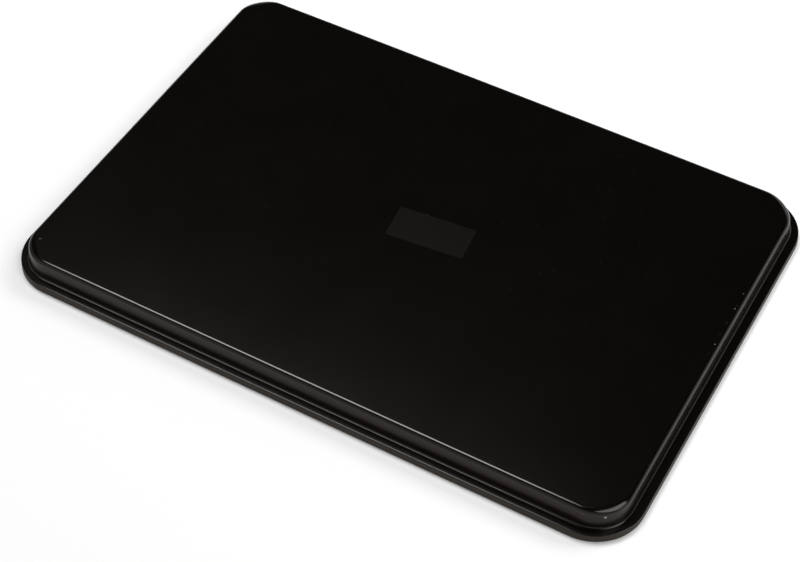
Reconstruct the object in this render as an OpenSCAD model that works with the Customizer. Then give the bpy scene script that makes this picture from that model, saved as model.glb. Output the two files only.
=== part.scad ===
// Moulded sheet pan, lying face down on its rim with the underside up.
// Origin: centre of the plane that the rim rests on. X runs along the long side.
// All lengths in millimetres, angles in degrees.

/* [Pan] */
// Overall length over the rim
pan_length = 650; // [300:1:900]
// Overall width over the rim
pan_width = 455; // [250:1:600]
// Overall height, from the rim's face to the underside
pan_height = 28; // [22:0.5:60]
// Corner radius of the rim's outer edge, seen from above
corner_r = 49; // [36:0.5:90]

/* [Rim] */
// Width of the flange outside the wall
rim_width = 8.4; // [7.4:0.1:12]
// Height of the rim bead
rim_height = 9.2; // [8:0.1:12]
// Round on the rim's outer edge, on the face side
rim_face_r = 1.6; // [0.5:0.1:2.5]
// Round on the rim's outer edge, on the underside
rim_edge_r = 0.8; // [0.3:0.1:1.6]
// Round where the rim's face turns down into the pan
rim_inner_r = 2.4; // [1:0.1:3]

/* [Wall and floor] */
// Thickness of the wall, square to its surface
wall_t = 2.6; // [2:0.1:4]
// Thickness of the floor
floor_t = 2.6; // [2:0.1:5]
// Draft of the wall, measured from upright
wall_draft = 11.4; // [5:0.1:20]
// Small fillet between the flange and the foot of the wall, outside
foot_r = 0.6; // [0.3:0.1:1.2]
// Round between the wall and the underside, outside
base_r = 4.4; // [2:0.1:8]
// Cove between the wall and the floor, inside
cove_r = 5; // [2:0.1:8]

/* [Rim rod] */
// Diameter of the steel rod moulded into the rim
rod_d = 4.8; // [3:0.1:5]
// Gap between the two butted ends of the rod
rod_end_gap = 1; // [0.4:0.1:4]
// Clearance all round the rod in its channel
rod_clearance = 0.05; // [0.03:0.01:0.2]

/* [Hidden] */

mould_colour = [0.07, 0.07, 0.065];
steel_colour = [0.62, 0.62, 0.6];

// Segments of a full turn, for the corner sweeps and for the small rounds
corner_fn = 128;
round_fn = 48;

straight_x = pan_length - 2 * corner_r;
straight_y = pan_width - 2 * corner_r;

// In the section, x is the inset from the rim's outer edge and y is the height
draft_run = tan(wall_draft);
cavity_height = pan_height - floor_t;
outer_top_inset = rim_width + (pan_height - rim_height) * draft_run;
inner_foot_inset = rim_width + wall_t / cos(wall_draft) - rim_height * draft_run;
inner_top_inset = inner_foot_inset + cavity_height * draft_run;

// How far the ends of a round lie from the corner of wall and flat, as a share of its radius
round_end_share = tan((90 - wall_draft) / 2);

// The section stops short of the centre of each corner, and the flat middle of the floor laps it
floor_hub_r = (corner_r - inner_top_inset) / 4;
section_reach = corner_r - floor_hub_r;
floor_lap = 2 * floor_hub_r;

// The rod runs up the middle of the bead
rod_height = rim_height / 2;
rod_inset = (inner_foot_inset + rod_height * draft_run) / 2;
cut_overrun = rod_d / 4;

// A point on a drafted wall, a distance along its slope from a corner
function along_wall(corner_inset, corner_height, distance) =
    [corner_inset + distance * sin(wall_draft), corner_height + distance * cos(wall_draft)];

module disc(inset, height, radius) {
    translate([inset, height]) circle(r = radius, $fn = round_fn);
}

// The outside of rim, wall and floor, filled in solid
module outside_section() {
    base_end = round_end_share * base_r;
    foot_end = round_end_share * foot_r;
    difference() {
        union() {
            polygon([
                [rim_face_r, 0],
                [section_reach, 0],
                [section_reach, pan_height],
                [outer_top_inset + base_end, pan_height],
                along_wall(outer_top_inset, pan_height, -base_end),
                along_wall(rim_width, rim_height, foot_end),
                [rim_width - foot_end, rim_height],
                [rim_edge_r, rim_height],
                [0, rim_height - rim_edge_r],
                [0, rim_face_r],
            ]);
            disc(rim_face_r, rim_face_r, rim_face_r);
            disc(rim_edge_r, rim_height - rim_edge_r, rim_edge_r);
            disc(outer_top_inset + base_end, pan_height - base_r, base_r);
        }
        disc(rim_width - foot_end, rim_height + foot_r, foot_r);
    }
}

// The space inside the pan, open at the rim's face
module inside_section() {
    cove_end = round_end_share * cove_r;
    lip_end = round_end_share * rim_inner_r;
    difference() {
        union() {
            polygon([
                [inner_foot_inset - lip_end, 0],
                along_wall(inner_foot_inset, 0, lip_end),
                along_wall(inner_top_inset, cavity_height, -cove_end),
                [inner_top_inset + cove_end, cavity_height],
                [section_reach, cavity_height],
                [section_reach, 0],
            ]);
            disc(inner_top_inset + cove_end, cavity_height - cove_r, cove_r);
        }
        disc(inner_foot_inset - lip_end, rim_inner_r, rim_inner_r);
    }
}

// Sweeps a section round the pan: a straight side and a quarter turn, four times
module swept_round() {
    for (turn = [0:3]) {
        reach = (turn % 2 == 0 ? pan_length : pan_width) / 2;
        run = turn % 2 == 0 ? straight_y : straight_x;
        rotate(90 * turn) {
            translate([reach, 0, 0]) mirror([1, 0, 0]) rotate([90, 0, 0])
                linear_extrude(height = run, center = true) children();
            translate([reach - corner_r, run / 2, 0])
                rotate_extrude(angle = 90, $fn = corner_fn)
                    translate([corner_r, 0]) mirror([1, 0]) children();
        }
    }
}

// One compression moulding: bead rim with a channel for the rod, drafted wall, flat floor
module pan_moulding() {
    color(mould_colour) {
        swept_round() difference() {
            outside_section();
            inside_section();
            disc(rod_inset, rod_height, rod_d / 2 + rod_clearance);
        }
        translate([0, 0, cavity_height + floor_t / 2])
            cube([straight_x + 2 * floor_lap, straight_y + 2 * floor_lap, floor_t], center = true);
    }
}

// Steel rod bent to a hoop inside the bead, with its ends butted in the middle of a long side
module rim_rod() {
    cut = rod_d + 2 * cut_overrun;
    color(steel_colour) difference() {
        swept_round() disc(rod_inset, rod_height, rod_d / 2);
        translate([0, pan_width / 2 - rod_inset, rod_height])
            cube([rod_end_gap, cut, cut], center = true);
    }
}

pan_moulding();
rim_rod();
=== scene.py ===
import bmesh
import bpy
import math
import numpy as np
from mathutils import Matrix, Vector, noise


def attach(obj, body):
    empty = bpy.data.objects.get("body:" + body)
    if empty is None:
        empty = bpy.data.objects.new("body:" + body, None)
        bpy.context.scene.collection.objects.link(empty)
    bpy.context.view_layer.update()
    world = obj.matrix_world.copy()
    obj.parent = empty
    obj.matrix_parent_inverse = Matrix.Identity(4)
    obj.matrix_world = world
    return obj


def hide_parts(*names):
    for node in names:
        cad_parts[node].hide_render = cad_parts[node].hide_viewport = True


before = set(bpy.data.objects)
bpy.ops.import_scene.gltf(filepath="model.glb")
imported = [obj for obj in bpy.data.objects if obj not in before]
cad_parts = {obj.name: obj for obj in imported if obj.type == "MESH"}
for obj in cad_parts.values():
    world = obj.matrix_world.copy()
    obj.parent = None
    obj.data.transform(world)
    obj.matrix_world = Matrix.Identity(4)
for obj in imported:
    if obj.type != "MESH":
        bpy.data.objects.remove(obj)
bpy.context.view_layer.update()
metre = 0.001  # sizes below are in millimetres, as in the CAD model, and Blender works in metres
nodeGap = 190  # between the nodes of a tree, in the editor


# Nodes and colours

def linearColour(hexValue):
    # A colour as it is picked on screen, turned into the linear values that the shaders take
    channels = [int(hexValue[i:i + 2], 16) / 255 for i in (1, 3, 5)]
    return [c / 12.92 if c <= 0.04045 else ((c + 0.055) / 1.055) ** 2.4 for c in channels] + [1.0]


def addNode(tree, kind, settings=None, links=None):
    # Settings go to the socket of that name or number, or else to the property of that name
    node = tree.nodes.new(kind)
    node.location = (len(tree.nodes) * nodeGap, 0)
    for name, value in (settings or {}).items():
        if isinstance(name, str) and name not in node.inputs:
            setattr(node, name, value)
        else:
            node.inputs[name].default_value = value
    for name, source in (links or {}).items():
        tree.links.new(source, node.inputs[name])
    return node


def startMaterial(name):
    material = bpy.data.materials.new(name)
    material.use_nodes = True
    material.node_tree.nodes.clear()
    return material, material.node_tree


def perMetre(sizeInMm):
    # Scale of a pattern whose features are this far apart
    return 1 / (sizeInMm * metre)


# Black sheet moulding compound: chopped glass fibre in polyester, pressed hot in a polished steel mould.
# It gives a deep black with a soft gloss, a faint orange peel, and bundles of fibre that just dull the skin
# over them.
moulding = {
    "black": "#040302",
    "worn": "#070605",            # skin that racks and hands have rubbed
    "fibre": "#88827a",           # bare glass fibre in a chip
    "gloss": "#fffaf6",
    "rubbedGloss": "#d8c8c3",     # a rubbed skin shows more of the warm resin
    "ior": 1.4,
    "lipLowIor": 1.22,           # the lip has little gloss; its colour paints the ground's reflection in its place
    "fibreRoughness": 0.8,
    "peel": 2.4,                  # orange peel, crest to crest
    "peelDepth": 0.003,
    "strand": 9.0,                # length that a bundle of fibre shows at the skin
    "strandWidth": 0.9,
    "strandTurns": (12, 71, 133),
    "strandFrom": (0.56, 0.78),   # where the noise begins to count, and where it counts in full
    "strandDulls": 0.3,
    "fleck": 2.6,                 # odd ends of fibre that reach the skin, apart from each other
    "fleckFrom": (0.82, 0.88),
    "fleckShows": 0.03,
    "haze": 70.0,                 # patches of handling haze
    "hazeFrom": (0.38, 0.68),
    "hazeDulls": 0.3,
    "scuff": (78.0, 0.5, 6.0),    # long and fine, along the way that the pan slides
    "scuffTurn": 7,
    "scuffFrom": (0.66, 0.8),
    "scuffDulls": 0.35,
    "pebbleDepth": 0.008,
}


def makeMouldedPolyester(name, roughness, colour=moulding["black"], gloss=moulding["gloss"],
                         ior=moulding["ior"], stipple=0.0):
    material, tree = startMaterial(name)
    place = addNode(tree, "ShaderNodeTexCoord").outputs["Object"]

    # Orange peel from the mould, on all of the skin
    peel = addNode(tree, "ShaderNodeTexNoise",
                   {"Scale": perMetre(moulding["peel"]), "Detail": 2.0, "Roughness": 0.45},
                   {"Vector": place})
    normal = addNode(tree, "ShaderNodeBump",
                     {"Strength": 1.0, "Distance": moulding["peelDepth"] * metre},
                     {"Height": peel.outputs["Fac"]}).outputs["Normal"]

    # Bundles of chopped fibre lie flat in all directions, so three turned and stretched noises stand for them
    strands = None
    across = perMetre(moulding["strandWidth"])
    for turn in moulding["strandTurns"]:
        turned = addNode(tree, "ShaderNodeMapping",
                         {"Rotation": (0, 0, math.radians(turn)),
                          "Scale": (perMetre(moulding["strand"]), across, across)},
                         {"Vector": place})
        strand = addNode(tree, "ShaderNodeTexNoise", {"Scale": 1.0, "Detail": 1.0},
                         {"Vector": turned.outputs[0]}).outputs["Fac"]
        if strands is None:
            strands = strand
        else:
            strands = addNode(tree, "ShaderNodeMath", {"operation": "MAXIMUM"},
                              {0: strands, 1: strand}).outputs[0]
    low, high = moulding["strandFrom"]
    strandMask = addNode(tree, "ShaderNodeMapRange", {"From Min": low, "From Max": high}, {"Value": strands})
    flecks = addNode(tree, "ShaderNodeTexNoise", {"Scale": perMetre(moulding["fleck"]), "Detail": 0.0},
                     {"Vector": place})
    low, high = moulding["fleckFrom"]
    fleckMask = addNode(tree, "ShaderNodeMapRange",
                        {"From Min": low, "From Max": high, "To Max": moulding["fleckShows"]},
                        {"Value": flecks.outputs["Fac"]})

    # Broad haze from handling and washing
    haze = addNode(tree, "ShaderNodeTexNoise",
                   {"Scale": perMetre(moulding["haze"]), "Detail": 5.0, "Roughness": 0.62, "Distortion": 0.4},
                   {"Vector": place})
    low, high = moulding["hazeFrom"]
    hazeMask = addNode(tree, "ShaderNodeMapRange",
                       {"From Min": low, "From Max": high, "To Max": moulding["hazeDulls"]},
                       {"Value": haze.outputs["Fac"]})

    # Long fine scuffs from sliding in and out of racks
    scuffPlace = addNode(tree, "ShaderNodeMapping",
                         {"Rotation": (0, 0, math.radians(moulding["scuffTurn"])),
                          "Scale": [perMetre(size) for size in moulding["scuff"]]},
                         {"Vector": place})
    scuff = addNode(tree, "ShaderNodeTexNoise", {"Scale": 1.0, "Detail": 3.0},
                    {"Vector": scuffPlace.outputs[0]})
    low, high = moulding["scuffFrom"]
    scuffMask = addNode(tree, "ShaderNodeMapRange", {"From Min": low, "From Max": high},
                        {"Value": scuff.outputs["Fac"]})

    dulled = addNode(tree, "ShaderNodeMath", {"operation": "MULTIPLY_ADD", 1: moulding["strandDulls"]},
                     {0: strandMask.outputs[0], 2: hazeMask.outputs[0]})
    rubbed = addNode(tree, "ShaderNodeMath",
                     {"operation": "MULTIPLY_ADD", 1: moulding["scuffDulls"], "use_clamp": True},
                     {0: scuffMask.outputs[0], 2: dulled.outputs[0]}).outputs[0]
    sheen = addNode(tree, "ShaderNodeMapRange", {"To Min": roughness[0], "To Max": roughness[1]},
                    {"Value": rubbed})
    skinColour = addNode(tree, "ShaderNodeMix",
                         {"data_type": "RGBA", 6: linearColour(colour), 7: linearColour(moulding["worn"])},
                         {0: rubbed})

    if stipple:
        # Fine pebbles that a blasted insert leaves in the mould's face
        pebbles = addNode(tree, "ShaderNodeTexVoronoi", {"Scale": perMetre(stipple), "Randomness": 1.0},
                          {"Vector": place})
        normal = addNode(tree, "ShaderNodeBump",
                         {"Strength": 0.8, "Distance": moulding["pebbleDepth"] * metre},
                         {"Height": pebbles.outputs["Distance"], "Normal": normal}).outputs["Normal"]

    # Chips show pale fibre: the mesh says where
    chip = addNode(tree, "ShaderNodeAttribute", {"attribute_name": "chip"}).outputs["Fac"]
    chip = addNode(tree, "ShaderNodeMath", {"operation": "MAXIMUM"},
                   {0: chip, 1: fleckMask.outputs[0]}).outputs[0]
    chipColour = addNode(tree, "ShaderNodeMix", {"data_type": "RGBA", 7: linearColour(moulding["fibre"])},
                         {0: chip, 6: skinColour.outputs[2]})
    chipSheen = addNode(tree, "ShaderNodeMix", {"data_type": "FLOAT", 3: moulding["fibreRoughness"]},
                        {0: chip, 2: sheen.outputs[0]})
    shader = addNode(tree, "ShaderNodeBsdfPrincipled",
                     {"IOR": ior, "Specular Tint": linearColour(gloss)},
                     {"Base Color": chipColour.outputs[2], "Roughness": chipSheen.outputs[0],
                      "Normal": normal})
    addNode(tree, "ShaderNodeOutputMaterial", links={"Surface": shader.outputs[0]})
    return material


# Drawn mild steel rod: grey metal with fine lines along it, from the die
rod = {
    "steel": "#b4b2ae",
    "oxide": "#6e6a64",
    "oxideFrom": (0.45, 0.75),
    "patch": 18.0,
    "line": 0.25,
    "lineDepth": 0.01,
    "roughness": (0.28, 0.5),
}


def makeDrawnSteel():
    material, tree = startMaterial("drawnSteel")
    place = addNode(tree, "ShaderNodeTexCoord").outputs["Object"]
    lines = addNode(tree, "ShaderNodeTexNoise", {"Scale": perMetre(rod["line"]), "Detail": 2.0},
                    {"Vector": place})
    patches = addNode(tree, "ShaderNodeTexNoise", {"Scale": perMetre(rod["patch"]), "Detail": 4.0},
                      {"Vector": place})
    low, high = rod["oxideFrom"]
    oxide = addNode(tree, "ShaderNodeMapRange", {"From Min": low, "From Max": high},
                    {"Value": patches.outputs["Fac"]}).outputs[0]
    colour = addNode(tree, "ShaderNodeMix",
                     {"data_type": "RGBA", 6: linearColour(rod["steel"]), 7: linearColour(rod["oxide"])},
                     {0: oxide})
    bump = addNode(tree, "ShaderNodeBump", {"Strength": 0.5, "Distance": rod["lineDepth"] * metre},
                   {"Height": lines.outputs["Fac"]})
    low, high = rod["roughness"]
    sheen = addNode(tree, "ShaderNodeMapRange", {"To Min": low, "To Max": high}, {"Value": oxide})
    shader = addNode(tree, "ShaderNodeBsdfPrincipled", {"Metallic": 1.0},
                     {"Base Color": colour.outputs[2], "Roughness": sheen.outputs[0],
                      "Normal": bump.outputs[0]})
    addNode(tree, "ShaderNodeOutputMaterial", links={"Surface": shader.outputs[0]})
    return material


satinPolyester = makeMouldedPolyester("mouldedPolyester", (0.12, 0.145))
stippledPolyester = makeMouldedPolyester("blastedMouldPolyester", (0.17, 0.2), "#090807", stipple=0.55)
# Racks have dulled the wall, which shows the brown of the resin. The lip is rough with little gloss, and its
# grey-brown colour is a painted reflection of the white ground in front of it.
rubbedPolyester = makeMouldedPolyester("rackWornPolyester", (0.25, 0.3), "#0e0907", moulding["rubbedGloss"])
lipPaintedReflectionPolyester = makeMouldedPolyester("lipPolyesterPaintedReflection", (0.5, 0.58), "#352e27",
                                        ior=moulding["lipLowIor"])
print("materials made")


# The pan: one skin lofted from rings that run all round it, from the middle of the underside, down the wall,
# round the rim and back up to the middle of the floor inside

pan = {
    "length": 650.0,
    "width": 455.0,
    "height": 28.0,
    "bow": 0.68,                  # the long sides swell out by this much in their middle
    "rimCorner": 49.0,            # corner centre, in from the edges, for the rim
    "footCorner": (44.0, 46.5),   # the same for the foot of the wall, at the left and the right end
    "topCorner": (44.0, 48.0),    # and for its top
    "topHeight": 23.6,
    "rimWidth": 9.5,
    "rimHeight": 8.7,
    "rimFaceRound": 1.6,
    "rimEdgeRound": 0.9,
    "lipLean": 8.0,               # the lip is upright at first and leans in by this angle at its top
    "leanFrom": 1.6,
    "rimInnerRound": 2.4,
    "wall": 2.6,
    "floor": 2.6,
    "draft": 8.0,                 # of the wall, from upright
    "footRound": (1.8, 2.2),      # flange to wall: along the sides, and in the middle of a corner
    "baseRound": 4.4,             # wall to underside
    "shoulder": (4.4, 15.0),      # upper part of that round, which eases into the underside at the corners
    "shoulderFrom": 62.0,         # where it takes over, in degrees up from level
    "cove": (5.0, 7.0),           # wall to floor inside
    "plateInset": 25.0,           # the flat middle begins here
}

# Columns round the pan, and rings across it: steps in its rounds and walls, and how rings lie on the flats
grid = {
    "columnGap": 9.0,
    "cornerColumns": 30,
    "chipGap": 0.4,               # columns stand this close around a chip
    "chipColumns": 3,             # so many on either side
    "chipBand": 25.0,             # chips further than this from an edge get none
    "chipRadius": 31.0,           # of the line that the corner's chips lie on
    "shoulder": 10,
    "baseRound": 12,
    "wall": 25,
    "footRound": 8,
    "flange": 4,
    "edge": 8,
    "lip": 3,
    "face": 10,
    "innerRound": 9,
    "innerWall": 12,
    "cove": 14,
    "hold": 0.03,                 # share of a short flat that is kept beside a round
    "wallHold": 0.02,
    "panel": (0.25, 0.5, 0.75, 0.97, 1),
    "plate": (0.06, 0.13, 0.22, 0.32, 0.43, 0.54, 0.65, 0.76, 0.86, 0.94, 1),
    "beforeShoulder": (3.4, 2.6, 2.1, 1.7, 1.3, 0.9, 0.5, 0.15),
    "beyondCove": (0.3, 2.0),
    "insidePlate": (0, 0.05, 0.12, 0.2, 0.3, 0.42, 0.56, 0.7, 0.85, 1),
    "weld": 0.002,
}

# A shallow blank panel on the underside, left by a blasted insert in the mould
panel = {
    "centre": (17.6, 1.2),
    "half": (40.25, 20.0),
    "corner": 1.2,
    "turn": 5.7,
    "recess": 0.04,
    "bank": (-0.8, -0.6, -0.2, 0.0, 0.3),  # rings across its edge, counted outward
    "ease": 0.005,                # how softly the bank starts and ends
}

# Small chips, as x, y, height and width across
chips = [
    (308.0, 78.4, 28.0, 0.9),
    (308.3, 61.7, 28.0, 0.6),
    (307.9, 57.2, 28.0, 1.1),
    (308.2, 37.9, 28.0, 0.7),
    (308.1, 21.5, 28.0, 0.6),
    (308.4, 8.8, 28.0, 1.0),
    (308.0, -3.4, 28.0, 0.6),
    (314.2, 12.6, 20.0, 0.8),
    (300.2, -208.1, 21.6, 2.3),
    (282.0, -215.7, 22.8, 1.0),
    (-301.6, -190.5, 28.0, 0.6),
]

chipping = {
    "depth": 0.12,
    "bare": 2.3,                  # a chip this wide goes down to bare fibre
    "edge": 1.35,                 # where its bank ends, as a share of half its width
    "bank": 0.5,
    "ragged": 0.35,
    "raggedSize": 0.9,
    "apart": 7.3,                 # keeps one chip's noise from another's
}

halfSize = np.array([pan["length"], pan["width"]]) / 2
draft = math.radians(pan["draft"])
draftRun = math.tan(draft)
roundEnd = math.tan((math.pi / 2 - draft) / 2)  # where a round of wall and flat ends, in shares of its radius
floorUnder = pan["height"] - pan["floor"]
outerTopInset = pan["rimWidth"] + (pan["height"] - pan["rimHeight"]) * draftRun
innerFootInset = pan["rimWidth"] + pan["wall"] / math.cos(draft) - pan["rimHeight"] * draftRun
innerTopInset = innerFootInset + floorUnder * draftRun


def spacedWithChips(low, high, count, chipPlaces, chipGap):
    # Even steps, with short ones around each chip
    places = set(np.linspace(low, high, count + 1).round(5))
    for centre in chipPlaces:
        places |= {round(centre + step * chipGap, 5)
                   for step in range(-grid["chipColumns"], grid["chipColumns"] + 1)}
    return [p for p in sorted(places) if low <= p <= high]


def layColumns():
    # A column is a place round the pan: its spot, where 1 is a corner's centre, and the way it faces
    spots, facings = [], []
    for side in range(4):
        angle = side * math.pi / 2
        facing = np.array([round(math.cos(angle)), round(math.sin(angle))])
        along = np.array([-facing[1], facing[0]])
        run = halfSize[1 - side % 2] - pan["rimCorner"]
        count = round(2 * run / grid["columnGap"])
        edge = halfSize[side % 2] - grid["chipBand"]
        near = [np.dot(chip[:2], along) / run for chip in chips if np.dot(chip[:2], facing) > edge]
        near = [share for share in near if abs(share) < 1]
        for share in spacedWithChips(-1, 1, count, near, grid["chipGap"] / run)[:-1]:
            spots.append(facing + along * share)
            facings.append(facing)
        spot = facing + along
        centre = spot * (halfSize - pan["rimCorner"])
        near = []
        for x, y, z, size in chips:
            out = np.array([x, y]) - centre
            if (out * spot > 0).all():
                near.append((math.atan2(out[1], out[0]) - angle) % (2 * math.pi))
        chipTurn = grid["chipGap"] / grid["chipRadius"]
        for turn in spacedWithChips(0, math.pi / 2, grid["cornerColumns"], near, chipTurn)[:-1]:
            spots.append(spot)
            facings.append([math.cos(angle + turn), math.sin(angle + turn)])
    return np.array(spots, float), np.array(facings, float)


columnSpot, columnFacing = layColumns()
columnCount = len(columnSpot)
inCorner = np.isclose(np.abs(columnSpot).min(axis=1), 1)
cornerness = (2 * columnFacing[:, 0] * columnFacing[:, 1]) ** 2 * inCorner  # 0 on the sides, 1 in mid corner
rightness = (columnSpot[:, 0] + 1) / 2


def grown(sizes):
    return sizes[0] + (sizes[1] - sizes[0]) * cornerness


def reachAt(height, skin):
    # The corner's centre, in from the edges: one place on the rim, and sliding with height on the walls
    if skin == "rim":
        return np.full(columnCount, pan["rimCorner"])
    foot, top = (ends[0] + (ends[1] - ends[0]) * rightness for ends in (pan["footCorner"], pan["topCorner"]))
    if skin == "outside":
        slid = np.clip((height - pan["rimHeight"]) / (pan["topHeight"] - pan["rimHeight"]), 0, 1)
        return foot + (top - foot) * slid
    return pan["rimCorner"] + (top - pan["rimCorner"]) * np.clip(height / pan["topHeight"], 0, 1)


def ringAt(inset, height, skin="outside"):
    # A ring of the skin, given for all columns or column by column
    inset = np.broadcast_to(np.asarray(inset, float), (columnCount,))
    height = np.broadcast_to(np.asarray(height, float), (columnCount,))
    reach = reachAt(height, skin)
    flat = columnSpot * (halfSize - reach[:, None]) + columnFacing * (reach - inset)[:, None]
    flat[:, 1] *= 1 - pan["bow"] / halfSize[1] * (flat[:, 0] / halfSize[0]) ** 2
    return np.column_stack([flat, height])


def arc(centreInset, centreHeight, radius, start, end, steps, skin="outside"):
    # Rings round an arc of the section, from one angle to the other; 0 faces outward and 90 up
    for angle in np.radians(np.linspace(start, end, steps + 1)):
        yield ringAt(centreInset - radius * math.cos(angle), centreHeight + radius * math.sin(angle), skin)


def between(first, last, shares):
    for share in shares:
        yield first + (last - first) * share


def heldShares(steps, hold):
    # Even steps with one close to each end, so that a flat face stays flat beside a round
    return [hold, *np.linspace(0, 1, steps + 1)[1:-1], 1 - hold]


def straightTo(rings, nextRing, steps):
    rings.extend(between(rings[-1], nextRing, heldShares(steps, grid["hold"])))


def turnPanel(flat, height):
    turn = math.radians(panel["turn"])
    turned = np.array([[math.cos(turn), math.sin(turn)], [-math.sin(turn), math.cos(turn)]])
    return np.column_stack([flat @ turned + panel["centre"], np.full(columnCount, height)])


def panelRing(grow, height):
    half = np.array(panel["half"]) + grow
    corner = panel["corner"] + grow
    return turnPanel(columnSpot * (half - corner) + columnFacing * corner, height)


def middleLine(half, corner):
    # The line in the middle of a rectangle that its shrinking rings close up on
    reach = half[0] - half[1]
    flat = columnSpot * (half - corner) + columnFacing * corner
    return np.column_stack([np.clip(flat[:, 0], -reach, reach), np.zeros(columnCount)])


def layRings():
    rings = []
    top = pan["height"]
    sunk = top - panel["recess"]

    # Underside: the blank panel first, then out to the edge
    bank = panel["bank"]
    rings.append(turnPanel(middleLine(np.array(panel["half"]), panel["corner"]), sunk))
    rings.extend(between(rings[0], panelRing(bank[0], sunk), grid["panel"]))
    rings.append(panelRing(bank[1], sunk + panel["ease"]))
    finish = {"panel": (0, len(rings) - 1)}
    rings.append(panelRing(bank[2], top - panel["ease"]))
    rings.append(panelRing(bank[3], top))
    rings.append(panelRing(bank[4], top))
    rings.extend(between(rings[-1], ringAt(pan["plateInset"], top), grid["plate"]))

    # Shoulder and round down to the wall: two arcs that meet smoothly, the second one touching the wall
    shoulder = grown(pan["shoulder"])
    radius = pan["baseRound"]
    meet = math.radians(pan["shoulderFrom"])
    roundDepth = shoulder - (shoulder - radius) * math.sin(meet)
    roundInset = outerTopInset - roundDepth * draftRun + radius / math.cos(draft)
    shoulderInset = roundInset + (shoulder - radius) * math.cos(meet)
    for beyond in grid["beforeShoulder"]:
        rings.append(ringAt(shoulderInset + beyond, top))
    rings.extend(arc(shoulderInset, top - shoulder, shoulder, 90, pan["shoulderFrom"], grid["shoulder"]))
    rings.extend(list(arc(roundInset, top - roundDepth, radius, pan["shoulderFrom"], pan["draft"],
                          grid["baseRound"]))[1:])

    # Wall, with short steps where it is chipped
    foot = grown(pan["footRound"])
    footInset = pan["rimWidth"] - roundEnd * foot
    footHeight = pan["rimHeight"] + foot
    wallTop = rings[-1][:, 2]
    wallFoot = footHeight - foot * math.sin(draft)
    wallFirst = len(rings) - 1
    for share in (grid["wallHold"], *np.linspace(0.05, 0.95, grid["wall"] + 1), 1 - grid["wallHold"]):
        height = wallTop + (wallFoot - wallTop) * share
        rings.append(ringAt(pan["rimWidth"] + (height - pan["rimHeight"]) * draftRun, height))
    finish["wall"] = (wallFirst, len(rings) - 1)

    # Foot of the wall, flange and lip
    for angle in np.radians(np.linspace(pan["draft"], 90, grid["footRound"] + 1)):
        rings.append(ringAt(footInset + foot * math.cos(angle), footHeight - foot * math.sin(angle)))
    edge = pan["rimEdgeRound"]
    face = pan["rimFaceRound"]
    lean = math.radians(pan["lipLean"])
    lipRound = (pan["rimHeight"] - pan["leanFrom"] - edge) / math.sin(lean) + edge
    edgeInset = lipRound - (lipRound - edge) * math.cos(lean)
    edgeRings = list(arc(edgeInset, pan["rimHeight"] - edge, edge, 90, pan["lipLean"], grid["edge"], "rim"))
    straightTo(rings, edgeRings[0], grid["flange"])
    rings.extend(edgeRings)
    lipFirst = len(rings) - 1
    rings.extend(list(arc(lipRound, pan["leanFrom"], lipRound, pan["lipLean"], 0, grid["edge"], "rim"))[1:])
    straightTo(rings, ringAt(0, face, "rim"), grid["lip"])
    finish["lip"] = (lipFirst, len(rings) - 1)
    rings.extend(arc(face, face, face, 0, -90, grid["face"], "rim"))

    # The face that the rim rests on, and the round into the pan
    inner = pan["rimInnerRound"]
    innerCentre = innerFootInset - roundEnd * inner
    straightTo(rings, ringAt(innerCentre, 0, "inside"), grid["lip"])
    for angle in np.radians(np.linspace(0, 90 - pan["draft"], grid["innerRound"] + 1)):
        rings.append(ringAt(innerCentre + inner * math.sin(angle), inner - inner * math.cos(angle), "inside"))

    # Wall, cove and floor inside
    cove = grown(pan["cove"])
    coveInset = innerTopInset + roundEnd * cove
    coveFoot = floorUnder - cove + cove * math.sin(draft)
    wallStart = inner - inner * math.sin(draft)
    for share in heldShares(grid["innerWall"], grid["wallHold"]):
        height = wallStart + (coveFoot - wallStart) * share
        rings.append(ringAt(innerFootInset + height * draftRun, height, "inside"))
    rings.extend(arc(coveInset, floorUnder - cove, cove, pan["draft"], 90, grid["cove"], "inside"))
    for beyond in grid["beyondCove"]:
        rings.append(ringAt(coveInset + beyond, floorUnder, "inside"))
    middle = np.column_stack([middleLine(halfSize, pan["rimCorner"]), np.full(columnCount, floorUnder)])
    rings.extend(between(ringAt(pan["plateInset"], floorUnder, "inside"), middle, grid["insidePlate"]))
    return rings, finish


def buildPan():
    rings, finish = layRings()
    mesh = bpy.data.meshes.new("moulded_pan")
    points = np.concatenate(rings) * metre
    faces = []
    for row in range(len(rings) - 1):
        for column in range(columnCount):
            beside = (column + 1) % columnCount
            faces.append((row * columnCount + column, (row + 1) * columnCount + column,
                          (row + 1) * columnCount + beside, row * columnCount + beside))
    mesh.from_pydata(points.tolist(), [], faces)
    mesh.materials.append(satinPolyester)
    rows = np.arange(len(faces)) // columnCount
    skins = np.zeros(len(faces), np.int32)
    # The lip's material has the ground's reflection painted into its colour
    for part, material in (("panel", stippledPolyester), ("wall", rubbedPolyester), ("lip", lipPaintedReflectionPolyester)):
        first, last = finish[part]
        mesh.materials.append(material)
        skins[(rows >= first) & (rows < last)] = len(mesh.materials) - 1
    mesh.polygons.foreach_set("material_index", skins)

    # The first and last ring close up on a line
    welded = bmesh.new()
    welded.from_mesh(mesh)
    welded.verts.ensure_lookup_table()
    ends = list(welded.verts)[:columnCount] + list(welded.verts)[-columnCount:]
    bmesh.ops.remove_doubles(welded, verts=ends, dist=grid["weld"] * metre)
    bmesh.ops.recalc_face_normals(welded, faces=welded.faces)
    openEdges = [edge for edge in welded.edges if len(edge.link_faces) != 2]
    print("pan skin:", len(welded.faces), "faces,", len(openEdges), "open edges,",
          round(welded.calc_volume() * 1e6, 1), "cm3")
    welded.to_mesh(mesh)
    welded.free()
    mesh.shade_smooth()
    return mesh


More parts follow.
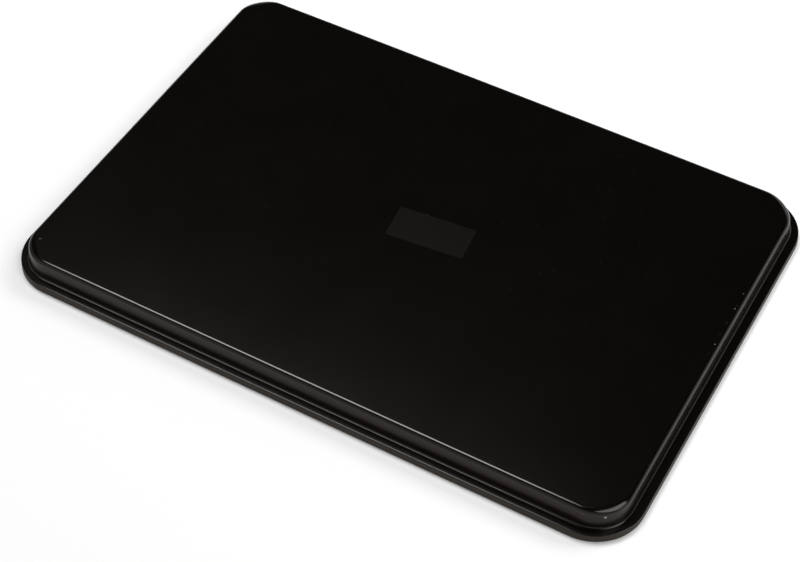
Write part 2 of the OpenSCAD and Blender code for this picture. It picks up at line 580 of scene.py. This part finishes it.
def chipSkin(mesh):
    # Each chip is a shallow ragged pit, and the attribute tells the material where its fibre is bare
    count = len(mesh.vertices)
    points = np.empty(count * 3)
    mesh.vertices.foreach_get("co", points)
    points = points.reshape(-1, 3)
    normals = np.array([v.vector for v in mesh.vertex_normals])
    depth = np.zeros(count)
    bare = np.zeros(count)
    for number, (x, y, z, size) in enumerate(chips):
        centre = points[np.linalg.norm(points - np.array([x, y, z]) * metre, axis=1).argmin()]
        distance = np.linalg.norm(points - centre, axis=1)
        shift = Vector((number * chipping["apart"], 0, 0))
        for i in np.nonzero(distance < size * metre)[0]:
            ragged = noise.noise(Vector(points[i]) * perMetre(chipping["raggedSize"]) + shift)
            within = chipping["edge"] - distance[i] / (size * metre / 2) + chipping["ragged"] * ragged
            depth[i] = max(depth[i], min(1, max(0, within) / chipping["bank"]))
            bare[i] = max(bare[i], depth[i] * min(1, size / chipping["bare"]))
    points -= normals * (depth * chipping["depth"] * metre)[:, None]
    mesh.vertices.foreach_set("co", points.ravel())
    mesh.attributes.new("chip", "FLOAT", "POINT").data.foreach_set("value", bare.astype(np.float32))
    mesh.update()
    print("chips:", int((depth > 0).sum()), "points")


panMesh = buildPan()
chipSkin(panMesh)
panSkin = bpy.data.objects.new("moulded_pan", panMesh)
bpy.context.scene.collection.objects.link(panSkin)
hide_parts("pan_moulding")
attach(panSkin, "root")

# The steel rod inside the rim keeps its CAD shape
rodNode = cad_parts["rim_rod"]
rodNode.data.materials.clear()
rodNode.data.materials.append(makeDrawnSteel())
print("pan and rod made")


# Studio: white paper ground, a softbox overhead to the left, one to the right, and a fill behind

studio = {
    "paper": "#d3d3d3",
    "paperGlow": 0.09,            # lifts the ground to white for the camera and in gloss
    "groundSize": 24.0,           # in metres
    "groundDrop": 0.1,            # keeps it just under the rim
    "grey": 0.32,                 # the room's walls
    "bright": 0.88,               # and where they are brighter, behind to the right
    "brightFrom": (0.5, 1.0),
    "frontLift": 0.3,             # how much brighter they are in front
    "liftFrom": (-0.5, 0.0),
    "wallTop": (48.0, 25.0),      # how high they reach in front and behind, in degrees
    "topTurn": (-0.15, 0.25),
    "softness": 0.05,
    "above": 0.03,                # the dark over them
}

# Place of the middle, size along x and y, and radiance; all face straight down
softboxes = {
    "softboxLeft": {"at": (-2.25, 1.27, 6.0), "size": (2.7, 3.34), "radiance": 9.6, "inGloss": True},
    "softboxRight": {"at": (3.7, -0.15, 4.0), "size": (4.2, 2.4), "radiance": 3.1, "inGloss": True},
    "fillBehind": {"at": (1.8, 3.2, 3.0), "size": (3.6, 1.9), "radiance": 6.2, "inGloss": False},
}

# In millimetres and degrees
view = {
    "target": (10.43, -45.81, 0),
    "azimuth": 28.161,
    "elevation": 49.192,
    "roll": 1.203,
    "distance": 1790.67,
    "lens": 84.28,
    "farthest": 50,               # in metres
}


def makeGround():
    material, tree = startMaterial("whitePaper")
    rays = addNode(tree, "ShaderNodeLightPath").outputs
    seen = addNode(tree, "ShaderNodeMath", {"operation": "ADD"},
                   {0: rays["Is Camera Ray"], 1: rays["Is Glossy Ray"]})
    seen = addNode(tree, "ShaderNodeMath", {"operation": "ADD", "use_clamp": True},
                   {0: seen.outputs[0], 1: rays["Is Transmission Ray"]})
    glowStrength = addNode(tree, "ShaderNodeMath", {"operation": "MULTIPLY", 1: studio["paperGlow"]},
                           {0: seen.outputs[0]})
    glow = addNode(tree, "ShaderNodeEmission", {"Color": (1, 1, 1, 1)}, {"Strength": glowStrength.outputs[0]})
    paper = addNode(tree, "ShaderNodeBsdfDiffuse", {"Color": linearColour(studio["paper"])})
    both = addNode(tree, "ShaderNodeAddShader", links={0: paper.outputs[0], 1: glow.outputs[0]})
    addNode(tree, "ShaderNodeOutputMaterial", links={"Surface": both.outputs[0]})

    half = studio["groundSize"] / 2
    low = -studio["groundDrop"] * metre
    mesh = bpy.data.meshes.new("ground")
    mesh.from_pydata([(-half, -half, low), (half, -half, low), (half, half, low), (-half, half, low)],
                     [], [(0, 1, 2, 3)])
    mesh.materials.append(material)
    ground = bpy.data.objects.new("ground", mesh)
    bpy.context.scene.collection.objects.link(ground)


def makeRoom():
    world = bpy.data.worlds.new("room")
    world.use_nodes = True
    tree = world.node_tree
    tree.nodes.clear()
    direction = addNode(tree, "ShaderNodeTexCoord").outputs["Generated"]
    x, y, z = addNode(tree, "ShaderNodeSeparateXYZ", links={0: direction}).outputs
    front, back = (math.sin(math.radians(angle)) for angle in studio["wallTop"])
    low, high = studio["topTurn"]
    top = addNode(tree, "ShaderNodeMapRange",
                  {"interpolation_type": "SMOOTHSTEP", "From Min": low, "From Max": high,
                   "To Min": front, "To Max": back},
                  {"Value": y})
    below = addNode(tree, "ShaderNodeMath", {"operation": "SUBTRACT"}, {0: top.outputs[0], 1: z})
    lit = addNode(tree, "ShaderNodeMapRange",
                  {"interpolation_type": "SMOOTHSTEP", "From Min": -studio["softness"],
                   "From Max": studio["softness"]},
                  {"Value": below.outputs[0]})
    rightBack = addNode(tree, "ShaderNodeMath", {"operation": "ADD"}, {0: x, 1: y})
    low, high = studio["brightFrom"]
    level = addNode(tree, "ShaderNodeMapRange",
                    {"interpolation_type": "SMOOTHSTEP", "From Min": low, "From Max": high,
                     "To Min": studio["grey"], "To Max": studio["bright"]},
                    {"Value": rightBack.outputs[0]})
    low, high = studio["liftFrom"]
    lift = addNode(tree, "ShaderNodeMapRange",
                   {"interpolation_type": "SMOOTHSTEP", "From Min": low, "From Max": high,
                    "To Min": studio["frontLift"], "To Max": 0.0},
                   {"Value": y})
    walls = addNode(tree, "ShaderNodeMath", {"operation": "ADD"}, {0: level.outputs[0], 1: lift.outputs[0]})
    light = addNode(tree, "ShaderNodeMath", {"operation": "MULTIPLY_ADD", 2: studio["above"]},
                    {0: lit.outputs[0], 1: walls.outputs[0]})
    room = addNode(tree, "ShaderNodeBackground", {"Color": (1, 1, 1, 1)}, {"Strength": light.outputs[0]})
    addNode(tree, "ShaderNodeOutputWorld", links={"Surface": room.outputs[0]})
    bpy.context.scene.world = world


def hangSoftboxes():
    for name, box in softboxes.items():
        lamp = bpy.data.lights.new(name, "AREA")
        lamp.shape = "RECTANGLE"
        lamp.size, lamp.size_y = box["size"]
        lamp.energy = 4 * box["size"][0] * box["size"][1] * box["radiance"]  # watts that give this radiance
        holder = bpy.data.objects.new(name, lamp)
        holder.location = box["at"]
        holder.visible_camera = False
        holder.visible_glossy = box["inGloss"]
        bpy.context.scene.collection.objects.link(holder)


def placeCamera():
    azimuth, elevation, roll = (math.radians(view[angle]) for angle in ("azimuth", "elevation", "roll"))
    back = Vector((math.sin(azimuth) * math.cos(elevation), -math.cos(azimuth) * math.cos(elevation),
                   math.sin(elevation)))
    level = Vector((0, 0, 1)).cross(back).normalized()
    upright = back.cross(level)
    right = math.cos(roll) * level + math.sin(roll) * upright
    up = math.cos(roll) * upright - math.sin(roll) * level
    camera = bpy.data.cameras.new("camera")
    camera.lens = view["lens"]
    camera.clip_end = view["farthest"]
    holder = bpy.data.objects.new("camera", camera)
    place = (Vector(view["target"]) + back * view["distance"]) * metre
    holder.matrix_world = Matrix.Translation(place) @ Matrix((right, up, back)).transposed().to_4x4()
    bpy.context.scene.collection.objects.link(holder)
    bpy.context.scene.camera = holder


makeGround()
makeRoom()
hangSoftboxes()
placeCamera()
bpy.context.scene.view_settings.view_transform = "Standard"
print("studio set")
